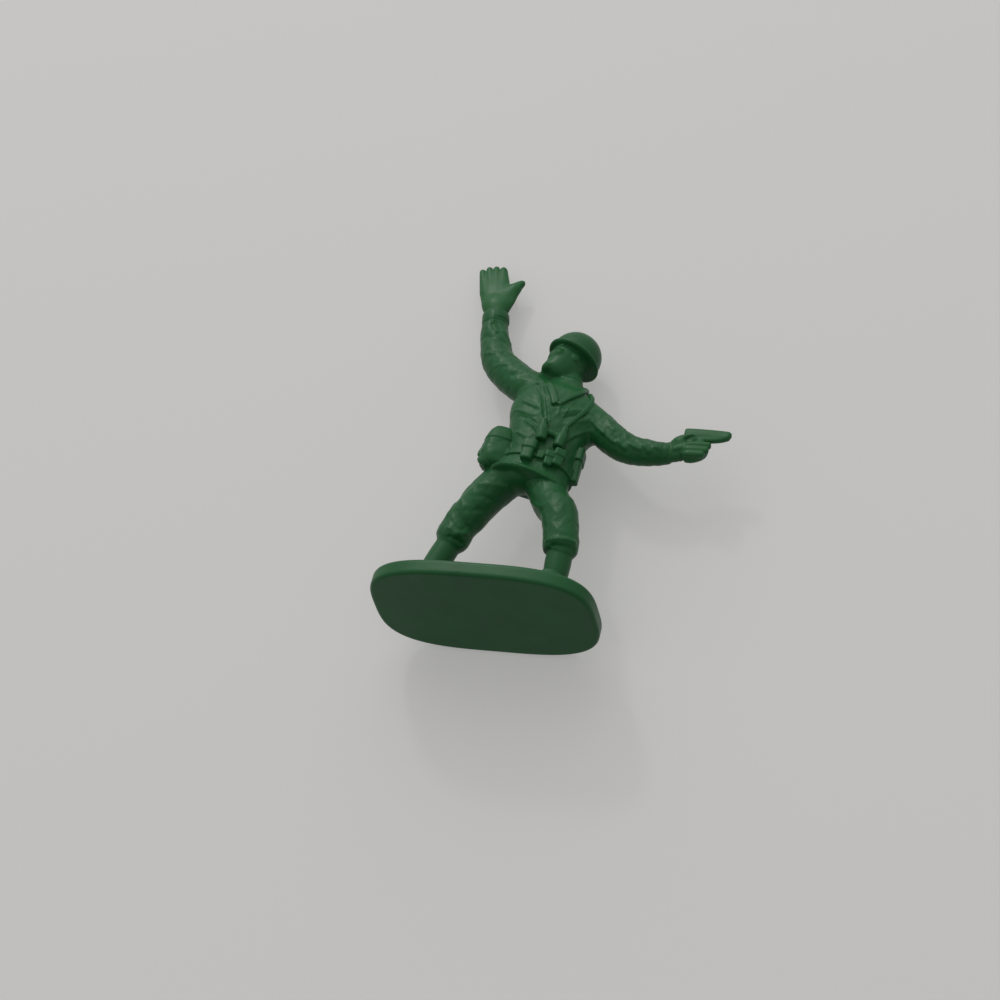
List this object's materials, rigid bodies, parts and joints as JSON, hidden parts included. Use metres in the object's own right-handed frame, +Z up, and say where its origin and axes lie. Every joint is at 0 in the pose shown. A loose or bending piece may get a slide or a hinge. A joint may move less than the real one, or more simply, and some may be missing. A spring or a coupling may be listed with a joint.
{
  "type": "toy soldier figure",
  "caption": "Moulded toy soldier on an oval base: an officer with a raised open hand, round helmet, binoculars, belt kit and a pistol held out to the side.",
  "frame": {"origin": "middle of the flat underside of the oval base", "axes": "+Z up through the standing figure, -Y the way that the chest faces, +X toward the figure's left hand"},
  "size_m": [0.0283, 0.012, 0.0385],
  "materials": {
    "green_plastic": "soft polyethylene, moulded in dark green, semi-gloss"
  },
  "bodies": {
    "root": {"base": "green_plastic", "right_boot": "green_plastic", "left_boot": "green_plastic", "right_trouser_leg": "green_plastic", "left_trouser_leg": "green_plastic", "jacket": "green_plastic", "collar": "green_plastic", "neck": "green_plastic", "head": "green_plastic", "helmet": "green_plastic", "right_sleeve": "green_plastic", "right_cuff": "green_plastic", "right_hand": "green_plastic", "right_thumb": "green_plastic", "left_sleeve": "green_plastic", "left_cuff": "green_plastic", "left_hand": "green_plastic", "pistol": "green_plastic", "belt": "green_plastic", "belt_buckle": "green_plastic", "right_pouch": "green_plastic", "left_inner_pouch": "green_plastic", "left_outer_pouch": "green_plastic", "canteen": "green_plastic", "canteen_flap": "green_plastic", "holster": "green_plastic", "holster_flap": "green_plastic", "binocular_right_barrel": "green_plastic", "binocular_left_barrel": "green_plastic", "binocular_bridge": "green_plastic", "binocular_strap": "green_plastic"}
  },
  "joints": []
}
